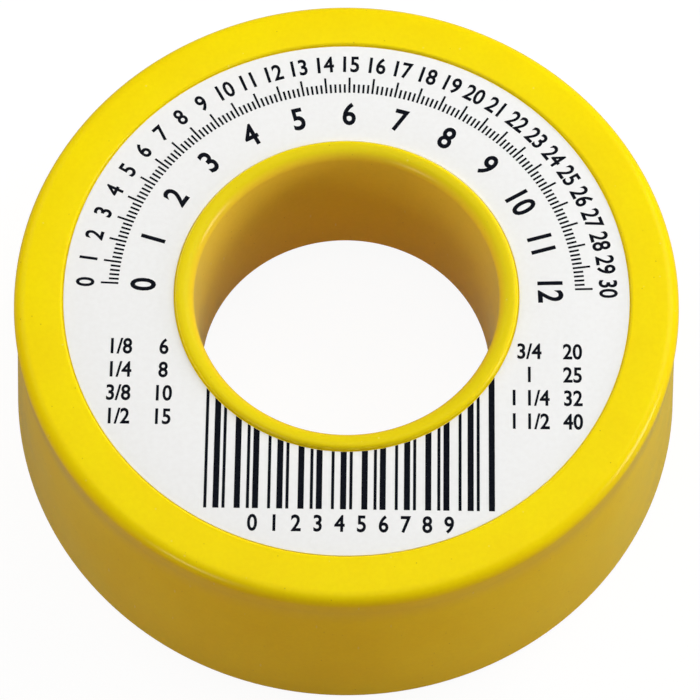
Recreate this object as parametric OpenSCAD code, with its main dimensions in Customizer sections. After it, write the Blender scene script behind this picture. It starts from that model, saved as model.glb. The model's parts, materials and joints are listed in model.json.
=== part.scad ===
// Thread seal tape roll.
// A flanged spool carries the wound tape. A shell with a recessed, labelled face drops over both:
// its tube plugs into the hub of the spool, so that the spool can turn in the shell and pull out of it.
// Millimetres. +Z runs along the axis and out of the labelled face, and the roll stands on Z = 0.

/* [Tape] */
// Width of the tape
tape_width = 12.7; // [9:0.1:20]
// Thickness of the tape
tape_thickness = 0.1; // [0.08:0.01:0.15]
// Length of tape on the roll
tape_length = 6600; // [3000:100:9000]
// Arc in degrees over which the loose end of the tape leaves the turn below it
tail_angle = 26; // [12:1:40]
// Height of the loose end above the turn below it
tail_lift = 1; // [0.3:0.1:2]

/* [Spool] */
// Wall of the hub that the tape is wound on
hub_wall = 1.2; // [1:0.1:2.5]
// Radius of the rounds on the top edges of the hub
hub_edge_round = 0.3; // [0.1:0.05:0.4]
// Radius of the round at the foot of the hub's bore
hub_foot_round = 0.8; // [0.2:0.1:1.2]
// Thickness of the flange
flange_thickness = 1.1; // [0.9:0.1:2]
// Radius of the rounds on the edge of the flange
flange_round = 0.3; // [0.1:0.05:0.5]
// Height of the foot ring under the flange
foot_height = 1; // [0.6:0.1:2]
// Width of the foot ring
foot_width = 2.6; // [2:0.1:5]

/* [Shell tube] */
// Diameter of the straight land at the end of the bore
bore_diameter = 21.2; // [16:0.1:30]
// Length of the straight land
bore_land = 5; // [3:0.1:7]
// Growth of the bore's radius from the land up to the lip
bore_draft = 0.25; // [0:0.05:0.5]
// Wall of the tube at the land
tube_wall = 1.2; // [1:0.1:2.5]
// Length of the tube below the face
tube_length = 11.7; // [8:0.1:13]
// Radius of the rounds on the end of the tube
tube_end_round = 0.3; // [0.1:0.05:0.5]
// Width of the lip round the bore
lip_width = 1.3; // [1.3:0.05:3]
// Height of the lip above the face
lip_height = 0.5; // [0.4:0.05:1.5]
// Radius of the round from the lip into the bore
lip_inner_round = 0.9; // [0.3:0.05:0.9]
// Radius of the round on the outer edge of the lip
lip_outer_round = 0.35; // [0.05:0.05:0.35]

/* [Shell] */
// Wall of the skirt
skirt_wall = 1.2; // [1:0.1:2]
// Growth of the skirt's radius from under the rim down to its base
skirt_flare = 0.95; // [0.1:0.05:2]
// Radius of the round on the outer edge of the skirt's base
base_round = 0.6; // [0.2:0.05:0.7]
// Radius of the round on the inner edge of the skirt's base
base_inner_round = 0.3; // [0.1:0.05:0.3]
// Thickness of the face under the label
face_thickness = 1.1; // [0.9:0.1:2]
// Radius of the round between the face and the skirt, inside the shell
inner_corner_round = 0.6; // [0.2:0.1:1]
// Width of the raised rim round the face
rim_width = 3.45; // [2.5:0.05:4.5]
// Depth of the label's recess below the rim
recess_depth = 0.3; // [0.25:0.05:1]
// Radius of the bead on the rim's outer edge
rim_round = 1.2; // [0.5:0.05:1.5]
// How far the bead stands out past the top of the skirt
rim_overhang = 0.2; // [0.05:0.05:0.45]
// Radius of the round on the rim's inner edge
rim_inner_round = 0.2; // [0.05:0.05:0.25]

/* [Label] */
// Thickness of the label
label_thickness = 0.1; // [0.05:0.01:0.2]
// Gap between the label and the rim and lip beside it
label_gap = 0.1; // [0.05:0.05:0.5]

/* [Clearances] */
// Radial clearance of the tube in the hub
tube_clearance = 0.1; // [0.05:0.01:0.2]
// Radial clearance of the hub in the wound tape
hub_clearance = 0.1; // [0.05:0.01:0.2]
// Gap on each side of the wound tape
tape_side_gap = 0.2; // [0.1:0.05:0.5]
// Room between the loose end of the tape and the skirt
tape_room = 1.6; // [0.5:0.1:4]
// Gap round the flange, where the tape runs out
flange_gap = 0.5; // [0.3:0.05:1]

/* [Hidden] */
$fn = 96;

ROUND_STEPS = 6;
WRAP_STEPS = 72;
TAIL_STEPS = 8;
// Share of the tail's lift that is straight, so that the tail parts cleanly from the turn below
TAIL_STRAIGHT = 0.2;

YELLOW = [0.96, 0.85, 0.07];
TAPE_YELLOW = [0.95, 0.83, 0.35];
PAPER_WHITE = [0.93, 0.93, 0.94];

// Heights, from the table up
flange_top = foot_height + flange_thickness;
tape_bottom = flange_top + tape_side_gap;
face_bottom = tape_bottom + tape_width + tape_side_gap;
face_top = face_bottom + face_thickness;
rim_top = face_top + recess_depth;
lip_top = face_top + lip_height;
tube_end = face_bottom - tube_length;
land_top = tube_end + tube_end_round + bore_land;

// Radii of the shell's tube, the hub and the wound tape, from the axis out
bore_r = bore_diameter / 2;
bore_top_r = bore_r + bore_draft;
lip_r = bore_top_r + lip_width;
tube_r = bore_r + tube_wall;
hub_in_r = tube_r + tube_clearance;
hub_r = hub_in_r + hub_wall;
winding_bore_r = hub_r + hub_clearance;
winding_r = sqrt(pow(winding_bore_r, 2) + tape_length * tape_thickness / PI);
core_r = winding_r - tape_thickness;
tail_r = winding_r + tail_lift;

// Radii of the skirt and the rim, from the wound tape out
skirt_in_top_r = tail_r + tape_room;
skirt_top_r = skirt_in_top_r + skirt_wall;
rim_r = skirt_top_r + rim_overhang;
recess_r = rim_r - rim_width;
base_r = skirt_top_r + skirt_flare;
base_in_r = base_r - skirt_wall;

// Angle below level at which the rim's bead meets the skirt, and the height of that line
bead_wrap = acos(1 - min(rim_overhang, rim_round) / rim_round);
bead_foot = rim_top - rim_round * (1 + sin(bead_wrap));
// Lean of the skirt from upright
skirt_lean = atan(skirt_flare / (bead_foot - base_round));

// Inner radius of the skirt at height z
function skirt_in_r(z) = base_in_r + (skirt_in_top_r - base_in_r) * z / face_bottom;
flange_r = skirt_in_r(flange_top) - flange_gap;

// Points along an arc about [x, z], from one angle to another
function arc(x, z, radius, from, to) = [
    for (i = [0 : ROUND_STEPS])
        let (a = from + (to - from) * i / ROUND_STEPS)
        [x + radius * cos(a), z + radius * sin(a)]
];

// Point at an angle and a radius in the plane of the roll
function polar(angle, radius) = [radius * cos(angle), radius * sin(angle)];

// Radius of the outer turn's surface after it has turned by an angle
function wrap_r(angle) = core_r + tape_thickness * angle / 360;

// Height of the loose end above the turn below, at a share u of its length
function tail_rise(u) = tail_lift * (TAIL_STRAIGHT * u + (1 - TAIL_STRAIGHT) * u * u);

// Hub that turns on the shell's tube, and a flange that closes the shell and stands on a foot ring
module spool() {
    profile = concat(
        arc(hub_in_r + hub_edge_round, face_bottom - hub_edge_round, hub_edge_round, 180, 90),
        arc(hub_r - hub_edge_round, face_bottom - hub_edge_round, hub_edge_round, 90, 0),
        [[hub_r, flange_top]],
        arc(flange_r - flange_round, flange_top - flange_round, flange_round, 90, 0),
        arc(flange_r - flange_round, flange_round, flange_round, 0, -90),
        [[flange_r - foot_width, 0], [flange_r - foot_width, foot_height]],
        arc(hub_in_r + hub_foot_round, foot_height + hub_foot_round, hub_foot_round, 270, 180)
    );
    color(YELLOW)
        rotate_extrude()
            polygon(profile);
}

// Wound tape: the outer turn spirals up by one thickness and ends in a loose tail
module tape_winding() {
    outer_turn = [for (i = [0 : WRAP_STEPS]) let (a = 360 * i / WRAP_STEPS) polar(a, wrap_r(a))];
    tail_outside = [
        for (i = [1 : TAIL_STEPS])
            let (u = i / TAIL_STEPS)
            let (a = tail_angle * u)
            polar(a, wrap_r(a) + tail_rise(u) + tape_thickness)
    ];
    tail_inside = [
        for (i = [TAIL_STEPS : -1 : 1])
            let (u = i / TAIL_STEPS)
            let (a = tail_angle * u)
            polar(a, wrap_r(a) + tail_rise(u))
    ];
    color(TAPE_YELLOW)
        translate([0, 0, tape_bottom])
            linear_extrude(tape_width)
                difference() {
                    polygon(concat(outer_turn, tail_outside, tail_inside));
                    circle(winding_bore_r);
                }
}

// Shell: a tube that ends in a lip, a face, a raised rim with a bead, and a skirt that flares to its base
module shell() {
    profile = concat(
        arc(bore_r + tube_end_round, tube_end + tube_end_round, tube_end_round, 270, 180),
        [[bore_r, land_top]],
        arc(bore_top_r + lip_inner_round, lip_top - lip_inner_round, lip_inner_round, 180, 90),
        arc(lip_r - lip_outer_round, lip_top - lip_outer_round, lip_outer_round, 90, 0),
        [[lip_r, face_top], [recess_r, face_top]],
        arc(recess_r + rim_inner_round, rim_top - rim_inner_round, rim_inner_round, 180, 90),
        arc(rim_r - rim_round, rim_top - rim_round, rim_round, 90, -bead_wrap),
        arc(base_r - base_round, base_round, base_round, skirt_lean, -90),
        arc(base_in_r + base_inner_round, base_inner_round, base_inner_round, 270, 180),
        arc(skirt_in_top_r - inner_corner_round, face_bottom - inner_corner_round,
            inner_corner_round, skirt_lean, 90),
        [[tube_r, face_bottom]],
        arc(tube_r - tube_end_round, tube_end + tube_end_round, tube_end_round, 0, -90)
    );
    color(YELLOW)
        rotate_extrude()
            polygon(profile);
}

// Paper ring that lies on the face, between the lip and the rim
module face_label() {
    color(PAPER_WHITE)
        translate([0, 0, face_top])
            linear_extrude(label_thickness)
                difference() {
                    circle(recess_r - label_gap);
                    circle(lip_r + label_gap);
                }
}

spool();
tape_winding();
shell();
face_label();
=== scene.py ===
# Thread seal tape roll, dressed for a product photograph.
# A yellow shell with a labelled face stands over a flanged spool and the tape that is wound on it.
import json
import math

import bmesh
import bpy
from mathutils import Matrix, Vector


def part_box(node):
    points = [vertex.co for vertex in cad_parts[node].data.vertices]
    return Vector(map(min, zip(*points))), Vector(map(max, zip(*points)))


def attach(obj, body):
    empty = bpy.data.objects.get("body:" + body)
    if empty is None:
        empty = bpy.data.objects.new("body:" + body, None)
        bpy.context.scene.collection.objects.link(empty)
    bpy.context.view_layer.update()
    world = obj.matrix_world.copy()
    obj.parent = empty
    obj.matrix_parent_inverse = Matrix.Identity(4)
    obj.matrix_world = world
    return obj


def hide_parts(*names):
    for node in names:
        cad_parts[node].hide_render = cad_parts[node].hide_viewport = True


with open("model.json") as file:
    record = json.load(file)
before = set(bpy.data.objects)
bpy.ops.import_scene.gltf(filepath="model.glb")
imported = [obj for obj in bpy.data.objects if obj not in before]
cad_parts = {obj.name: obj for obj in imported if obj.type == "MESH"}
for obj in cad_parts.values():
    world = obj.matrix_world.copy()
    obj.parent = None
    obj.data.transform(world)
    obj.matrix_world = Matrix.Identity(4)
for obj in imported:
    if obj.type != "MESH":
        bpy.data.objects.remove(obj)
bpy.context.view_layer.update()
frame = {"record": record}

MM = 0.001

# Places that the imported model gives
shell_low, shell_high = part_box("shell")
spool_low, spool_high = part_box("spool")
tape_low, tape_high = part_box("tape_winding")
label_low, label_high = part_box("face_label")
mounts = {mount["name"]: mount for mount in frame["record"]["mounts"]}

face_top = label_low.z
label_top = label_high.z
lip_top = shell_high.z
face_bottom = spool_high.z
base_r = -shell_low.x
flange_r = -spool_low.x
label_r = -label_low.x
bore_r = mounts["bore"]["dims"]["r_mm"] * MM
bore_land = mounts["bore"]["dims"]["length_mm"] * MM

# Sizes of the shell and its label
BORE_DRAFT = 0.25 * MM
LIP_WIDTH = 1.3 * MM
LIP_INNER_ROUND = 0.9 * MM
LIP_OUTER_ROUND = 0.35 * MM
TUBE_WALL = 1.2 * MM
TUBE_LENGTH = 11.7 * MM
TUBE_END_ROUND = 0.3 * MM
TUBE_ROOT_ROUND = 0.25 * MM
FACE_FILLET = 0.06 * MM
LABEL_GAP = 0.1 * MM
LABEL_ROUND_SHARE = 0.25
RIM_HEIGHT = 0.3 * MM
RIM_R = 23.6 * MM
RIM_ROUND = 0.95 * MM
RIM_INNER_ROUND = 0.2 * MM
BEAD_OVERHANG = 0.1 * MM
BEAD_HEIGHT = 3.2 * MM
BEAD_UNDER_ROUND = 0.6 * MM
SKIRT_WALL = 1.2 * MM
SKIRT_ROUND = 0.9 * MM
BASE_ROUND = 0.6 * MM
BASE_INNER_ROUND = 0.3 * MM
INNER_CORNER_ROUND = 0.6 * MM

# Sizes of the spool
TUBE_CLEARANCE = 0.1 * MM
HUB_WALL = 1.2 * MM
HUB_EDGE_ROUND = 0.3 * MM
HUB_ROOT_ROUND = 0.12 * MM
HUB_FOOT_ROUND = 0.8 * MM
FLANGE_THICKNESS = 1.1 * MM
FLANGE_ROUND = 0.3 * MM
FOOT_HEIGHT = 1.0 * MM
FOOT_WIDTH = 2.6 * MM
FOOT_ROUND = 0.2 * MM

# Sizes of the tape: turns lie one pitch apart, and the loose end lifts off the last turn
HUB_CLEARANCE = 0.1 * MM
TAPE_PITCH = 0.1 * MM
TAPE_THICKNESS = 0.084 * MM
WINDING_R = 19.6 * MM
TAIL_ANGLE = 26
TAIL_LIFT = 1.0 * MM
TAIL_STRAIGHT_SHARE = 0.2
TAIL_ROOM = 1.6 * MM
EDGE_WANDER = 0.07 * MM
# Rate per turn and phase of each wave in the tape's edges
EDGE_WAVES = [(2.1, 0), (5.3, 1), (11.7, 2)]

# Radii and heights that follow: tube, hub and tape lie round the bore, and the skirt clears the tape
bore_top_r = bore_r + BORE_DRAFT
lip_r = bore_top_r + LIP_WIDTH
tube_r = bore_r + TUBE_WALL
tube_end = face_bottom - TUBE_LENGTH
land_top = tube_end + TUBE_END_ROUND + bore_land
hub_in_r = tube_r + TUBE_CLEARANCE
hub_r = hub_in_r + HUB_WALL
flange_top = FOOT_HEIGHT + FLANGE_THICKNESS
winding_bore_r = hub_r + HUB_CLEARANCE
skirt_in_top_r = WINDING_R + TAIL_LIFT + TAIL_ROOM
skirt_top_r = RIM_R - BEAD_OVERHANG
rim_top = face_top + RIM_HEIGHT

# Sizes of the label's print: two rows of numbers on arcs, ticks, stripes and a short table
INK_THICKNESS = 0.012 * MM
FIGURE_CAP_SHARE = 0.73
FIGURE_CONDENSE = 0.84
FIGURE_WEIGHT_SHARE = 0.031
SCALE_START = 178
SCALE_END = 2
OUTER_ROW_R = 17.95 * MM
OUTER_ROW_HEIGHT = 1.3 * MM
OUTER_UNITS = 30
TICKS_PER_UNIT = 5
TICK_FOOT_R = 16.2 * MM
TICK_WIDTH = 0.15 * MM
TICK_SHORT = 0.7 * MM
TICK_LONG = 1.25 * MM
INNER_ROW_R = 13.6 * MM
INNER_ROW_HEIGHT = 1.8 * MM
INNER_UNITS = 12
STRIPES_LEFT = -9.7 * MM
STRIPES_RIGHT = 10.2 * MM
STRIPES_FOOT = -16.6 * MM
STRIPE_STEP = 0.21 * MM
# Widths of the stripes and of the gaps after them, in steps, taken in turn
STRIPE_WIDTHS = (1, 2)
STRIPE_GAPS = (2, 1, 3)
STRIPE_CLEARANCE = 0.02 * MM
DIGITS = "0123456789"
FIGURES_LEFT = -6.3 * MM
FIGURES_RIGHT = 7.3 * MM
FIGURES_FOOT = -18.25 * MM
FIGURES_HEIGHT = 1.25 * MM
TABLE_TOP = -4.9 * MM
TABLE_STEP = 1.8 * MM
TABLE_HEIGHT = 1.2 * MM
# Columns of the table: the middle of the inches, the middle of the millimetres, and the rows
TABLE_COLUMNS = [
    (-15.9 * MM, -12.8 * MM, [("1/8", "6"), ("1/4", "8"), ("3/8", "10"), ("1/2", "15")]),
    (12.9 * MM, 15.95 * MM, [("3/4", "20"), ("1", "25"), ("1 1/4", "32"), ("1 1/2", "40")]),
]

# Meshes: steps round the axis, along a rounding, in a turn of tape and along a figure's curves
TURN_STEPS = 192
ROUND_STEPS = 8
TAPE_STEPS = 96
FIGURE_STEPS = 4
WELD = 1e-6
SMOOTH_ANGLE = math.radians(35)


def deselect():
    """Leaves nothing selected, so that an operator acts only on what comes next."""
    bpy.ops.object.select_all(action="DESELECT")


def select_points(piece, chosen):
    """Selects the points of the piece in edit mode for which chosen(co) holds."""
    bpy.ops.mesh.select_mode(type="VERT")
    bpy.ops.mesh.select_all(action="DESELECT")
    mesh = bmesh.from_edit_mesh(piece.data)
    for vertex in mesh.verts:
        vertex.select = chosen(vertex.co)
    mesh.select_flush(True)
    bmesh.update_edit_mesh(piece.data)


def close_faces():
    """Welds the active piece's seams and turns its faces outwards."""
    bpy.ops.object.mode_set(mode="EDIT")
    bpy.ops.mesh.select_all(action="SELECT")
    bpy.ops.mesh.remove_doubles(threshold=WELD)
    bpy.ops.mesh.normals_make_consistent(inside=False)
    bpy.ops.object.mode_set(mode="OBJECT")


def loop_through(name, points):
    """A closed loop of edges through the points, as the active piece."""
    deselect()
    bpy.ops.mesh.primitive_circle_add(vertices=len(points), fill_type="NOTHING")
    piece = bpy.context.object
    piece.name = name
    for vertex, point in zip(piece.data.vertices, points):
        vertex.co = point
    return piece


def turned_piece(name, section):
    """Turns a closed section round the axis. Its corners are (radius, height, rounding)."""
    piece = loop_through(name, [(radius, 0, height) for radius, height, rounding in section])
    bpy.ops.object.mode_set(mode="EDIT")
    for radius, height, rounding in section:
        if rounding:
            corner = (radius, 0, height)
            select_points(piece, lambda co: math.dist(co, corner) < WELD)
            bpy.ops.mesh.bevel(offset=rounding, segments=ROUND_STEPS, affect="VERTICES")
    bpy.ops.mesh.select_all(action="SELECT")
    bpy.ops.mesh.spin(steps=TURN_STEPS, angle=math.tau, center=(0, 0, 0), axis=(0, 0, 1))
    bpy.ops.object.mode_set(mode="OBJECT")
    close_faces()
    bpy.ops.object.shade_smooth_by_angle(angle=SMOOTH_ANGLE)
    return piece


def make_shell():
    """One moulding: tube, lip, recessed face, raised rim with a bead, and a skirt that flares."""
    recess_r = label_r + LABEL_GAP
    bead_foot = rim_top - BEAD_HEIGHT
    flare = (base_r - skirt_top_r) / bead_foot
    base_corner_r = base_r + BASE_ROUND * flare
    return turned_piece("roll_shell", [
        (bore_r, tube_end, TUBE_END_ROUND),
        (bore_r, land_top, 0),
        (bore_top_r, lip_top, LIP_INNER_ROUND),
        (lip_r, lip_top, LIP_OUTER_ROUND),
        (lip_r, face_top, FACE_FILLET),
        (recess_r, face_top, FACE_FILLET),
        (recess_r, rim_top, RIM_INNER_ROUND),
        (RIM_R, rim_top, RIM_ROUND),
        (RIM_R, rim_top - RIM_ROUND - BEAD_UNDER_ROUND, BEAD_UNDER_ROUND),
        (skirt_top_r, bead_foot, SKIRT_ROUND),
        (base_corner_r, 0, BASE_ROUND),
        (base_r - SKIRT_WALL, 0, BASE_INNER_ROUND),
        (skirt_in_top_r, face_bottom, INNER_CORNER_ROUND),
        (tube_r, face_bottom, TUBE_ROOT_ROUND),
        (tube_r, tube_end, TUBE_END_ROUND),
    ])


def make_spool():
    """Hub that the tape is wound on, with a flange that stands on a foot ring."""
    foot_in_r = flange_r - FOOT_WIDTH
    return turned_piece("roll_spool", [
        (hub_in_r, face_bottom, HUB_EDGE_ROUND),
        (hub_r, face_bottom, HUB_EDGE_ROUND),
        (hub_r, flange_top, HUB_ROOT_ROUND),
        (flange_r, flange_top, FLANGE_ROUND),
        (flange_r, 0, FLANGE_ROUND),
        (foot_in_r, 0, FOOT_ROUND),
        (foot_in_r, FOOT_HEIGHT, FOOT_ROUND),
        (hub_in_r, FOOT_HEIGHT, HUB_FOOT_ROUND),
    ])


def make_label():
    """Paper ring in the recess of the face."""
    inner_r = lip_r + LABEL_GAP
    edge_round = (label_top - face_top) * LABEL_ROUND_SHARE
    return turned_piece("paper_label", [
        (inner_r, face_top, 0),
        (label_r, face_top, 0),
        (label_r, label_top, edge_round),
        (inner_r, label_top, edge_round),
    ])


def tape_path():
    """Points along the foot of the wound tape, from the hub to the end of the loose tail."""
    turns = (WINDING_R - winding_bore_r) / TAPE_PITCH - 1
    first = -round(turns * TAPE_STEPS)
    last = round(TAPE_STEPS * TAIL_ANGLE / 360)
    points = []
    for i in range(first, last + 1):
        turn = i / TAPE_STEPS
        tail = max(0, 360 * turn / TAIL_ANGLE)
        lift = TAIL_LIFT * (TAIL_STRAIGHT_SHARE * tail + (1 - TAIL_STRAIGHT_SHARE) * tail * tail)
        radius = WINDING_R + TAPE_PITCH * (turn - 0.5) + lift
        wander = sum(math.sin(rate * turn + phase) for rate, phase in EDGE_WAVES) / len(EDGE_WAVES)
        points.append((
            radius * math.cos(math.tau * turn),
            radius * math.sin(math.tau * turn),
            tape_low.z + EDGE_WANDER * (1 + wander),
        ))
    return points


def make_tape():
    """One unbroken ribbon, wound from the hub outwards, with edges that wander a little."""
    tape = loop_through("wound_tape", tape_path())
    bpy.ops.object.mode_set(mode="EDIT")
    mesh = bmesh.from_edit_mesh(tape.data)
    mesh.verts.ensure_lookup_table()
    mesh.edges.remove(mesh.edges.get((mesh.verts[0], mesh.verts[-1])))
    bmesh.update_edit_mesh(tape.data)
    bpy.ops.mesh.select_all(action="SELECT")
    width = tape_high.z - tape_low.z - 2 * EDGE_WANDER
    bpy.ops.mesh.extrude_edges_move(TRANSFORM_OT_translate={"value": (0, 0, width)})
    bpy.ops.object.mode_set(mode="OBJECT")
    solidify = tape.modifiers.new("thickness", "SOLIDIFY")
    solidify.thickness = TAPE_THICKNESS
    solidify.offset = 0
    bpy.ops.object.modifier_apply(modifier=solidify.name)
    close_faces()
    bpy.ops.object.shade_smooth_by_angle(angle=SMOOTH_ANGLE)
    return tape


def join_print(marks, name):
    """Joins marks of ink into one piece."""
    deselect()
    for mark in marks:
        mark.select_set(True)
    bpy.context.view_layer.objects.active = marks[0]
    bpy.ops.object.join()
    marks[0].name = name
    close_faces()
    return marks[0]


def printed_figures(text, height, x, y, turn=0):
    """Figures on the label with the middle of their foot at (x, y), turned about it."""
    deselect()
    bpy.ops.object.text_add()
    figures = bpy.context.object
    figures.data.body = text
    figures.data.size = height / FIGURE_CAP_SHARE
    figures.data.align_x = "CENTER"
    weight = height * FIGURE_WEIGHT_SHARE
    figures.data.bevel_depth = weight
    figures.data.bevel_resolution = 0
    figures.data.resolution_u = FIGURE_STEPS
    bpy.ops.object.convert(target="MESH")
    figures.scale = (FIGURE_CONDENSE, 1, INK_THICKNESS / (2 * weight))
    figures.location = (x, y, label_top + INK_THICKNESS / 2)
    figures.rotation_euler.z = turn
    bpy.ops.object.transform_apply()
    return figures


def figures_on_arc(text, height, radius, degrees):
    """Figures with their foot on an arc round the axis and their top away from it."""
    angle = math.radians(degrees)
    x = radius * math.cos(angle)
    y = radius * math.sin(angle)
    return printed_figures(text, height, x, y, angle - math.pi / 2)


def printed_bar(left, right, foot, left_top, right_top):
    """Upright bar on the label, whose top may slant."""
    deselect()
    bpy.ops.mesh.primitive_plane_add(size=1)
    bar = bpy.context.object
    corners = [(left, foot), (right, foot), (left, left_top), (right, right_top)]
    for vertex, (x, y) in zip(bar.data.vertices, corners):
        vertex.co = (x, y, label_top)
    bpy.ops.object.mode_set(mode="EDIT")
    bpy.ops.mesh.extrude_region_move(TRANSFORM_OT_translate={"value": (0, 0, INK_THICKNESS)})
    bpy.ops.object.mode_set(mode="OBJECT")
    return bar


def printed_tick(length):
    """Tick at the far side of the label, to be copied round the scale."""
    top = TICK_FOOT_R + length
    return printed_bar(-TICK_WIDTH / 2, TICK_WIDTH / 2, TICK_FOOT_R, top, top)


def turned_copy(mark, turn):
    """Copy of a mark with a mesh of its own, turned about the axis of the roll."""
    deselect()
    copy = mark.copy()
    copy.data = mark.data.copy()
    bpy.context.collection.objects.link(copy)
    copy.select_set(True)
    bpy.context.view_layer.objects.active = copy
    copy.rotation_euler.z = turn
    bpy.ops.object.transform_apply()
    return copy


def scale_angle(share):
    """Angle in degrees at a share of the way along the scales."""
    return SCALE_START + (SCALE_END - SCALE_START) * share


def make_scales():
    """Two rows of numbers round the far half of the label, with a row of ticks between them."""
    marks = []
    for units, height, radius in (
        (OUTER_UNITS, OUTER_ROW_HEIGHT, OUTER_ROW_R),
        (INNER_UNITS, INNER_ROW_HEIGHT, INNER_ROW_R),
    ):
        for unit in range(units + 1):
            marks.append(figures_on_arc(str(unit), height, radius, scale_angle(unit / units)))
    short_tick = printed_tick(TICK_SHORT)
    long_tick = printed_tick(TICK_LONG)
    ticks = OUTER_UNITS * TICKS_PER_UNIT
    for i in range(ticks + 1):
        tick = short_tick if i % TICKS_PER_UNIT else long_tick
        turn = math.radians(scale_angle(i / ticks)) - math.pi / 2
        marks.append(turned_copy(tick, turn))
    for tick in (short_tick, long_tick):
        bpy.data.objects.remove(tick)
    return join_print(marks, "print_scales")


def make_stripes():
    """Block of upright stripes under the bore, cut off along the lip, over a row of figures."""
    marks = []
    cut_r = lip_r + LABEL_GAP + STRIPE_CLEARANCE
    left = STRIPES_LEFT
    while left < STRIPES_RIGHT:
        count = len(marks)
        right = left + STRIPE_STEP * STRIPE_WIDTHS[count % len(STRIPE_WIDTHS)]
        left_top = -math.sqrt(cut_r ** 2 - left ** 2)
        right_top = -math.sqrt(cut_r ** 2 - right ** 2)
        marks.append(printed_bar(left, right, STRIPES_FOOT, left_top, right_top))
        left = right + STRIPE_STEP * STRIPE_GAPS[count % len(STRIPE_GAPS)]
    for i, digit in enumerate(DIGITS):
        x = FIGURES_LEFT + (FIGURES_RIGHT - FIGURES_LEFT) * i / (len(DIGITS) - 1)
        marks.append(printed_figures(digit, FIGURES_HEIGHT, x, FIGURES_FOOT))
    return join_print(marks, "print_stripes")


def make_table():
    """Two short columns of nominal pipe sizes, in inches and in millimetres."""
    marks = []
    for inches_x, millimetres_x, rows in TABLE_COLUMNS:
        for row, (inches, millimetres) in enumerate(rows):
            y = TABLE_TOP - TABLE_STEP * row
            marks.append(printed_figures(inches, TABLE_HEIGHT, inches_x, y))
            marks.append(printed_figures(millimetres, TABLE_HEIGHT, millimetres_x, y))
    return join_print(marks, "print_table")


# Colours, in linear light
YELLOW = (0.92, 0.735, 0.003, 1)
DEEP_YELLOW = (0.90, 0.695, 0.003, 1)
# Painted shade on the lip: the same plastic, coloured darker as a rounded lip that falls into shade
LIP_PAINTED_SHADE = (0.78, 0.63, 0.008, 1)
# Painted shade in the bore: the same plastic, coloured a deeper orange where the bore lies in shade
BORE_PAINTED_SHADE = (0.90, 0.63, 0.04, 1)
DARK_MOTTLE = (0.62, 0.41, 0.002, 1)
DARK_SPECK = (0.30, 0.17, 0.012, 1)
PALE_NICK = (0.96, 0.84, 0.25, 1)
TAPE_YELLOW = (0.88, 0.70, 0.10, 1)
TAPE_PALE = (0.90, 0.76, 0.20, 1)
PAPER_WHITE = (0.87, 0.88, 0.885, 1)
PAPER_SHADE = (0.85, 0.857, 0.86, 1)
INK_BLACK = (0.002, 0.003, 0.006, 1)
INK_WORN = (0.008, 0.009, 0.014, 1)

# Grain of the surfaces: widths of the blotches, and heights of the relief that they make
CLOUD = 5 * MM
MOTTLE = 0.3 * MM
MOTTLE_STRENGTH = 0.08
WAVE = 4 * MM
SKIN = 0.22 * MM
SKIN_SHARE = 0.12
PLASTIC_RELIEF = 0.012 * MM
SPECK_CELL = 0.8 * MM
SPECK_R = 0.06 * MM
SPECK_SHARE = 0.5
SPECK_STRENGTH = 0.5
NICK_CELL = 1.0 * MM
NICK_R = 0.09 * MM
NICK_SHARE = 0.45
NICK_STRENGTH = 0.3
NICK_STRETCH = (1, 1, 0.3)
STREAK = 0.16 * MM
STREAK_STRETCH = (0.02, 0.02, 1)
STREAK_STRENGTH = 0.5
TAPE_CLOUD = 3 * MM
TAPE_RELIEF = 0.01 * MM
FIBRE = 0.35 * MM
FIBRE_RELIEF = 0.004 * MM
INK_GRAIN = 0.12 * MM
GRAIN_DETAIL = 3
NOISE_LOW = 0.33
NOISE_HIGH = 0.67
SPOOL_SHIFT = 0.1

# Gloss of the surfaces: least and most roughness, level of the highlight, and light that spreads inside
PLASTIC_ROUGHNESS = (0.18, 0.26)
PLASTIC_SPECULAR = 0.15
PLASTIC_SUBSURFACE = 0.06
PLASTIC_SUBSURFACE_RADIUS = (1.0, 0.55, 0.1)
TAPE_ROUGHNESS = (0.48, 0.62)
TAPE_SPECULAR = 0.3
TAPE_SUBSURFACE = 0.25
TAPE_SUBSURFACE_RADIUS = (1.0, 0.8, 0.3)
SUBSURFACE_SCALE = 0.4 * MM
PAPER_ROUGHNESS = (0.42, 0.52)
PAPER_SPECULAR = 0.3
INK_ROUGHNESS = 0.5
INK_SPECULAR = 0.06

# Sockets of a Mix node that mixes colours, found by number because their names repeat
MIX_SHARE = 0
MIX_FIRST = 6
MIX_SECOND = 7
MIX_RESULT = 2


def connect(tree, value, socket):
    """Links a socket to another one, or sets its own value."""
    if isinstance(value, bpy.types.NodeSocket):
        tree.links.new(value, socket)
    else:
        socket.default_value = value


def add_node(tree, kind, settings=None, **inputs):
    """Adds a node with its settings, and with a value or a link on each input that is named."""
    node = tree.nodes.new(kind)
    for key, value in (settings or {}).items():
        setattr(node, key, value)
    for key, value in inputs.items():
        connect(tree, value, node.inputs[key.replace("_", " ")])
    return node


def new_material(name):
    """New material, with its node tree and its shader."""
    material = bpy.data.materials.new(name)
    material.use_nodes = True
    tree = material.node_tree
    return material, tree, tree.nodes["Principled BSDF"]


def object_place(tree, stretch=(1, 1, 1), shift=0):
    """Object coordinates, stretched along the axes and shifted so that patterns differ."""
    place = add_node(tree, "ShaderNodeTexCoord").outputs["Object"]
    node = add_node(tree, "ShaderNodeMapping", Vector=place, Scale=stretch, Location=[shift] * 3)
    return node.outputs["Vector"]


def grain(tree, place, size):
    """Noise whose blotches are about as wide as size."""
    noise = add_node(tree, "ShaderNodeTexNoise", Vector=place, Scale=1 / size, Detail=GRAIN_DETAIL)
    return noise.outputs["Fac"]


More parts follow.
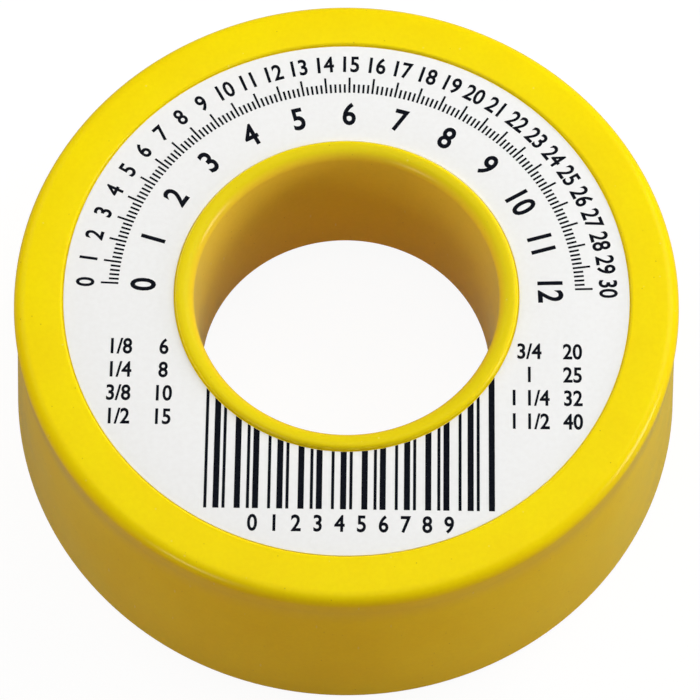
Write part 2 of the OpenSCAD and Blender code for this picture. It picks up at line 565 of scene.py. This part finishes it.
def carry(tree, value, low, high, new_low=0, new_high=1):
    """Carries a value from one range into another and keeps it inside."""
    ranges = {"From_Min": low, "From_Max": high, "To_Min": new_low, "To_Max": new_high}
    return add_node(tree, "ShaderNodeMapRange", Value=value, **ranges).outputs["Result"]


def spread(tree, noise, new_low=0, new_high=1):
    """Carries the middle of a noise's range into another range."""
    return carry(tree, noise, NOISE_LOW, NOISE_HIGH, new_low, new_high)


def combine(tree, operation, first, second):
    """One value made of two by a Math node."""
    node = add_node(tree, "ShaderNodeMath", {"operation": operation})
    connect(tree, first, node.inputs[0])
    connect(tree, second, node.inputs[1])
    return node.outputs[0]


def mix_colours(tree, share, first, second):
    """The first colour, with a share of the second one."""
    node = add_node(tree, "ShaderNodeMix", {"data_type": "RGBA"})
    connect(tree, share, node.inputs[MIX_SHARE])
    connect(tree, first, node.inputs[MIX_FIRST])
    connect(tree, second, node.inputs[MIX_SECOND])
    return node.outputs[MIX_RESULT]


def flecks(tree, place, cell, radius, share):
    """Small dots, one at most in each cell, and only in that share of the cells."""
    cells = add_node(tree, "ShaderNodeTexVoronoi", Vector=place, Scale=1 / cell)
    dot = carry(tree, cells.outputs["Distance"], radius / cell, radius / cell / 2)
    lot = add_node(tree, "ShaderNodeSeparateColor", Color=cells.outputs["Color"]).outputs["Red"]
    return combine(tree, "MULTIPLY", dot, combine(tree, "LESS_THAN", lot, share))


def bump(tree, shader, height, distance):
    """Gives the surface a relief, which is the distance high where the height is 1."""
    node = add_node(tree, "ShaderNodeBump", Height=height, Distance=distance)
    tree.links.new(node.outputs["Normal"], shader.inputs["Normal"])


def let_light_in(shader, weight, radius):
    """Lets a share of the light into the surface, where each colour spreads by its own radius."""
    shader.inputs["Subsurface Weight"].default_value = weight
    shader.inputs["Subsurface Radius"].default_value = radius
    shader.inputs["Subsurface Scale"].default_value = SUBSURFACE_SCALE


def share_inwards(tree, outer_r, inner_r):
    """Share that rises from 0 at one distance from the roll's axis to 1 at a smaller one."""
    level = object_place(tree, (1, 1, 0))
    length = add_node(tree, "ShaderNodeVectorMath", {"operation": "LENGTH"}, Vector=level)
    return carry(tree, length.outputs["Value"], outer_r, inner_r)


def moulded_plastic(name, shift):
    """Satin yellow plastic with specks and nicks, and painted shade: darker on the lip and a deeper
    orange in the bore.
    """
    material, tree, shader = new_material(name)
    place = object_place(tree, shift=shift)
    clouds = grain(tree, place, CLOUD)
    colour = mix_colours(tree, spread(tree, clouds), YELLOW, DEEP_YELLOW)
    # Painted shade: a darker yellow from the lip's outer edge inwards
    painted_lip_shade = share_inwards(tree, lip_r, lip_r - LIP_OUTER_ROUND)
    colour = mix_colours(tree, painted_lip_shade, colour, LIP_PAINTED_SHADE)
    # Painted shade: a deeper orange from the lip's inner rounding down into the bore
    painted_bore_shade = share_inwards(tree, bore_top_r + LIP_INNER_ROUND / 2, bore_top_r)
    colour = mix_colours(tree, painted_bore_shade, colour, BORE_PAINTED_SHADE)
    mottles = spread(tree, grain(tree, place, MOTTLE), 0, MOTTLE_STRENGTH)
    colour = mix_colours(tree, mottles, colour, DARK_MOTTLE)
    specks = flecks(tree, place, SPECK_CELL, SPECK_R, SPECK_SHARE)
    faint_specks = combine(tree, "MULTIPLY", specks, SPECK_STRENGTH)
    colour = mix_colours(tree, faint_specks, colour, DARK_SPECK)
    nicks = flecks(tree, object_place(tree, NICK_STRETCH, shift), NICK_CELL, NICK_R, NICK_SHARE)
    faint_nicks = combine(tree, "MULTIPLY", nicks, NICK_STRENGTH)
    colour = mix_colours(tree, faint_nicks, colour, PALE_NICK)
    tree.links.new(colour, shader.inputs["Base Color"])
    tree.links.new(spread(tree, clouds, *PLASTIC_ROUGHNESS), shader.inputs["Roughness"])
    shader.inputs["Specular IOR Level"].default_value = PLASTIC_SPECULAR
    let_light_in(shader, PLASTIC_SUBSURFACE, PLASTIC_SUBSURFACE_RADIUS)
    skin = combine(tree, "MULTIPLY", grain(tree, place, SKIN), SKIN_SHARE)
    height = combine(tree, "ADD", grain(tree, place, WAVE), skin)
    bump(tree, shader, combine(tree, "SUBTRACT", height, faint_nicks), PLASTIC_RELIEF)
    return material


def wound_tape_skin():
    """Soft waxy tape with fine streaks along its length."""
    material, tree, shader = new_material("seal_tape")
    streaks = grain(tree, object_place(tree, STREAK_STRETCH), STREAK)
    clouds = grain(tree, object_place(tree), TAPE_CLOUD)
    colour = mix_colours(tree, spread(tree, clouds), TAPE_YELLOW, TAPE_PALE)
    colour = mix_colours(tree, spread(tree, streaks, 0, STREAK_STRENGTH), colour, TAPE_PALE)
    tree.links.new(colour, shader.inputs["Base Color"])
    tree.links.new(spread(tree, streaks, *TAPE_ROUGHNESS), shader.inputs["Roughness"])
    shader.inputs["Specular IOR Level"].default_value = TAPE_SPECULAR
    let_light_in(shader, TAPE_SUBSURFACE, TAPE_SUBSURFACE_RADIUS)
    bump(tree, shader, streaks, TAPE_RELIEF)
    return material


def label_paper():
    """White coated paper with a faint fibre."""
    material, tree, shader = new_material("label_paper")
    fibre = grain(tree, object_place(tree), FIBRE)
    colour = mix_colours(tree, spread(tree, fibre), PAPER_WHITE, PAPER_SHADE)
    tree.links.new(colour, shader.inputs["Base Color"])
    tree.links.new(spread(tree, fibre, *PAPER_ROUGHNESS), shader.inputs["Roughness"])
    shader.inputs["Specular IOR Level"].default_value = PAPER_SPECULAR
    bump(tree, shader, fibre, FIBRE_RELIEF)
    return material


def label_ink():
    """Black ink that lets a little of the paper's grain through."""
    material, tree, shader = new_material("label_ink")
    wear = grain(tree, object_place(tree), INK_GRAIN)
    colour = mix_colours(tree, spread(tree, wear), INK_BLACK, INK_WORN)
    tree.links.new(colour, shader.inputs["Base Color"])
    shader.inputs["Roughness"].default_value = INK_ROUGHNESS
    shader.inputs["Specular IOR Level"].default_value = INK_SPECULAR
    return material


def dress(piece, material, body, node=None):
    """Gives a piece its finish, the body it moves with and any node it stands for."""
    piece.data.materials.clear()
    piece.data.materials.append(material)
    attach(piece, body)
    if node:
        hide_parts(node)


# Pieces: each has its finish, the body that it moves with and the node that it stands for
ink = label_ink()
dress(make_shell(), moulded_plastic("shell_yellow", 0), "shell", "shell")
dress(make_spool(), moulded_plastic("spool_yellow", SPOOL_SHIFT), "spool", "spool")
dress(make_tape(), wound_tape_skin(), "winding", "tape_winding")
dress(make_label(), label_paper(), "shell", "face_label")
dress(make_scales(), ink, "shell")
dress(make_stripes(), ink, "shell")
dress(make_table(), ink, "shell")

# Studio: a floor that the camera sees as white, dim walls, softboxes above and panels at the sides
FLOOR_SIZE = 3
FLOOR_COLOUR = (0.55, 0.30, 0.12, 1)
FLOOR_SHADE = (0.08, 0.08, 0.08, 1)
FLOOR_GLOW = (0.93, 0.93, 0.93, 1)
MIRRORED_GLOW = 0.14
WALL_COLOUR = (0.05, 0.035, 0.02, 1)
CEILING_COLOUR = (0.05, 0.05, 0.05, 1)
WALL_TOP = 0.1
CEILING_FOOT = 0.7
LAMP_DISTANCE = 0.4
TOP_SOFTBOX_SIZE = 0.4
BACK_SOFTBOX_SIZE = 0.25
PANEL_SIZE = 0.12
COOL_WHITE = (0.97, 1, 1)
PLAIN_WHITE = (1, 1, 1)
WARM_WHITE = (1, 0.95, 0.91)
WARMER_WHITE = (1, 0.88, 0.8)
# Lamps: name, direction from the roll, size, watts, colour, and whether they make a highlight
LAMPS = [
    ("top_softbox", (0.05, -0.05, 1), TOP_SOFTBOX_SIZE, 0.6, COOL_WHITE, False),
    ("right_back_softbox", (0.62, 0.42, 0.66), BACK_SOFTBOX_SIZE, 0.96, PLAIN_WHITE, False),
    ("left_back_softbox", (-0.62, 0.42, 0.66), BACK_SOFTBOX_SIZE, 0.64, WARM_WHITE, False),
    ("right_panel", (0.95, -0.1, 0.22), PANEL_SIZE, 0.56, WARM_WHITE, True),
    ("left_panel", (-0.6, -0.78, 0.2), PANEL_SIZE, 0.3, WARMER_WHITE, True),
]


def make_floor():
    """Floor that bounces warm light on the roll, and that looks white with a faint shadow."""
    deselect()
    bpy.ops.mesh.primitive_plane_add(size=FLOOR_SIZE)
    floor = bpy.context.object
    floor.name = "floor"
    material, tree, shader = new_material("floor")
    tree.nodes.remove(shader)
    path = add_node(tree, "ShaderNodeLightPath")
    mirrored = combine(tree, "MULTIPLY", path.outputs["Is Glossy Ray"], MIRRORED_GLOW)
    seen = combine(tree, "MAXIMUM", path.outputs["Is Camera Ray"], path.outputs["Is Transmission Ray"])
    strength = combine(tree, "MAXIMUM", seen, mirrored)
    glow = add_node(tree, "ShaderNodeEmission", Color=FLOOR_GLOW, Strength=strength)
    colour = mix_colours(tree, path.outputs["Is Diffuse Ray"], FLOOR_SHADE, FLOOR_COLOUR)
    matt = add_node(tree, "ShaderNodeBsdfDiffuse", Color=colour)
    both = add_node(tree, "ShaderNodeAddShader")
    tree.links.new(matt.outputs[0], both.inputs[0])
    tree.links.new(glow.outputs[0], both.inputs[1])
    tree.links.new(both.outputs[0], tree.nodes["Material Output"].inputs["Surface"])
    floor.data.materials.append(material)


def make_walls():
    """World of dim warm walls under a plain ceiling."""
    world = bpy.data.worlds.new("studio")
    bpy.context.scene.world = world
    world.use_nodes = True
    tree = world.node_tree
    direction = add_node(tree, "ShaderNodeTexCoord").outputs["Generated"]
    height = add_node(tree, "ShaderNodeSeparateXYZ", Vector=direction).outputs["Z"]
    share = carry(tree, height, WALL_TOP, CEILING_FOOT)
    colour = mix_colours(tree, share, WALL_COLOUR, CEILING_COLOUR)
    tree.links.new(colour, tree.nodes["Background"].inputs["Color"])


def make_lamp(name, towards, size, watts, colour, mirrored):
    """Square lamp that shines at the roll from the given direction, with or without a highlight."""
    lamp = bpy.data.objects.new(name, bpy.data.lights.new(name, "AREA"))
    bpy.context.scene.collection.objects.link(lamp)
    lamp.data.size = size
    lamp.data.energy = watts
    lamp.data.color = colour
    direction = Vector(towards).normalized()
    lamp.location = direction * LAMP_DISTANCE
    lamp.rotation_mode = "QUATERNION"
    lamp.rotation_quaternion = direction.to_track_quat("Z", "Y")
    lamp.visible_camera = False
    lamp.visible_glossy = mirrored


make_floor()
make_walls()
for lamp_values in LAMPS:
    make_lamp(*lamp_values)

# Camera: a long lens that looks down on the front of the rim
CAMERA_LENS = 205.714
CAMERA_SENSOR = 36
CAMERA_ELEVATION = math.radians(64.774)
CAMERA_ROLL = math.radians(0.775)
CAMERA_DISTANCE = 281.23 * MM
CAMERA_NEAREST = 10 * MM
AIM = Vector((0.295 * MM, -4.525 * MM, rim_top))


def make_camera():
    """Camera at the photograph's viewing angle, in front of the roll and above it."""
    camera = bpy.data.objects.new("camera", bpy.data.cameras.new("camera"))
    bpy.context.scene.collection.objects.link(camera)
    camera.data.lens = CAMERA_LENS
    camera.data.sensor_width = CAMERA_SENSOR
    camera.data.clip_start = CAMERA_NEAREST
    back = Vector((0, -math.cos(CAMERA_ELEVATION), math.sin(CAMERA_ELEVATION)))
    camera.location = AIM + back * CAMERA_DISTANCE
    camera.rotation_mode = "ZYX"
    camera.rotation_euler = (math.pi / 2 - CAMERA_ELEVATION, 0, CAMERA_ROLL)
    bpy.context.scene.camera = camera


make_camera()
bpy.context.scene.view_settings.view_transform = "Standard"
